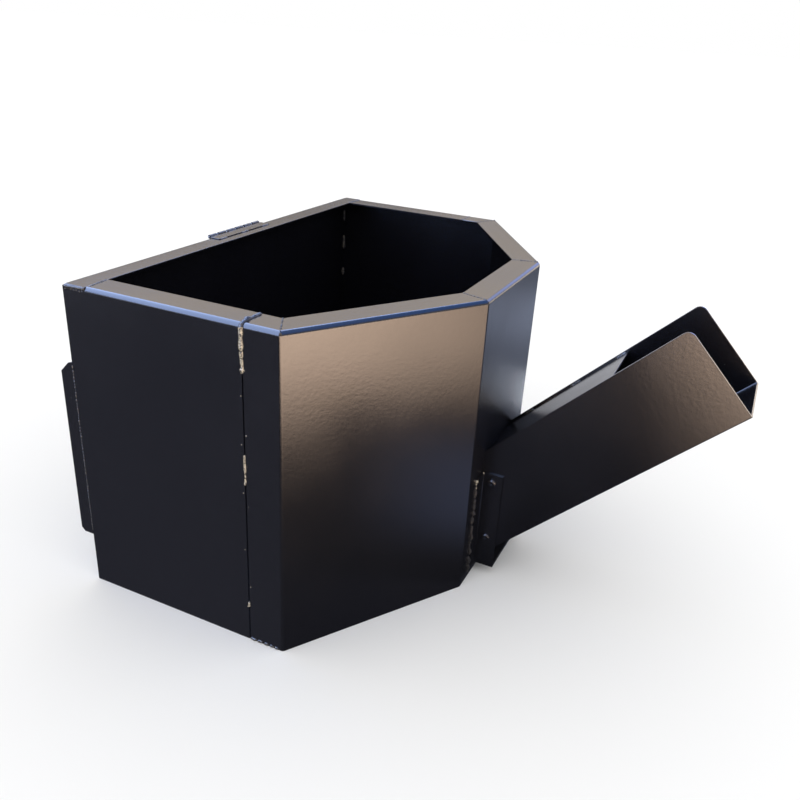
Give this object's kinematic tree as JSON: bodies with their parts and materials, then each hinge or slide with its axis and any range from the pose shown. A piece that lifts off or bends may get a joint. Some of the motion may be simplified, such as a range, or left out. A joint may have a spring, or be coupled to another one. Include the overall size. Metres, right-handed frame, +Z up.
{
  "type": "sluice feed hopper",
  "caption": "Six-sided folded sheet-steel hopper with an inward rim, a part-covered chute bolted on at 45 degrees, rear ears and a hinge on the back rim.",
  "frame": {"origin": "centre of the underside of the tub, midway between its back wall and its narrow front wall", "axes": "+X from the back wall to the chute, +Y to the left side wall, +Z up from the base to the rim"},
  "size_m": [0.554, 0.4822, 0.3026],
  "materials": {
    "powder_coat": "semi-gloss black powder coat with fine orange peel",
    "coated_weld": "rough rippled weld bead under thin black powder coat, with bare sandy glints",
    "coated_fastener": "black-coated button-head bolts",
    "zinc_hardware": "bright zinc plate",
    "pin_steel": "drawn steel wire"
  },
  "bodies": {
    "tub": {"back_panel": "powder_coat", "side_panel_right": "powder_coat", "side_panel_left": "powder_coat", "front_shell": "powder_coat", "floor_plate": "powder_coat", "ear_right": "powder_coat", "ear_left": "powder_coat", "chute_trough": "powder_coat", "chute_cover": "powder_coat", "chute_bracket_right": "powder_coat", "chute_bracket_left": "powder_coat", "chute_bracket_plate": "powder_coat", "hinge_fixed_leaf": "powder_coat", "seam_weld_right": "coated_weld", "seam_weld_left": "coated_weld", "rim_corner_welds": "coated_weld", "back_corner_welds": "coated_weld", "floor_welds": "coated_weld", "ear_welds": "coated_weld", "cover_welds": "coated_weld", "bracket_welds": "coated_weld", "hinge_welds": "coated_weld", "chute_bolts": "coated_fastener", "chute_washers": "zinc_hardware", "chute_nuts": "zinc_hardware", "hinge_pin": "pin_steel"},
    "hinge_leaf": {"hinge_loose_leaf": "powder_coat"}
  },
  "joints": [
    {"name": "hinge_swing", "type": "hinge", "parent": "tub", "child": "hinge_leaf", "pos_m": [-0.1594, 0, 0.30054], "axis": [0, 1, 0], "range_deg": [-1, 180]}
  ]
}
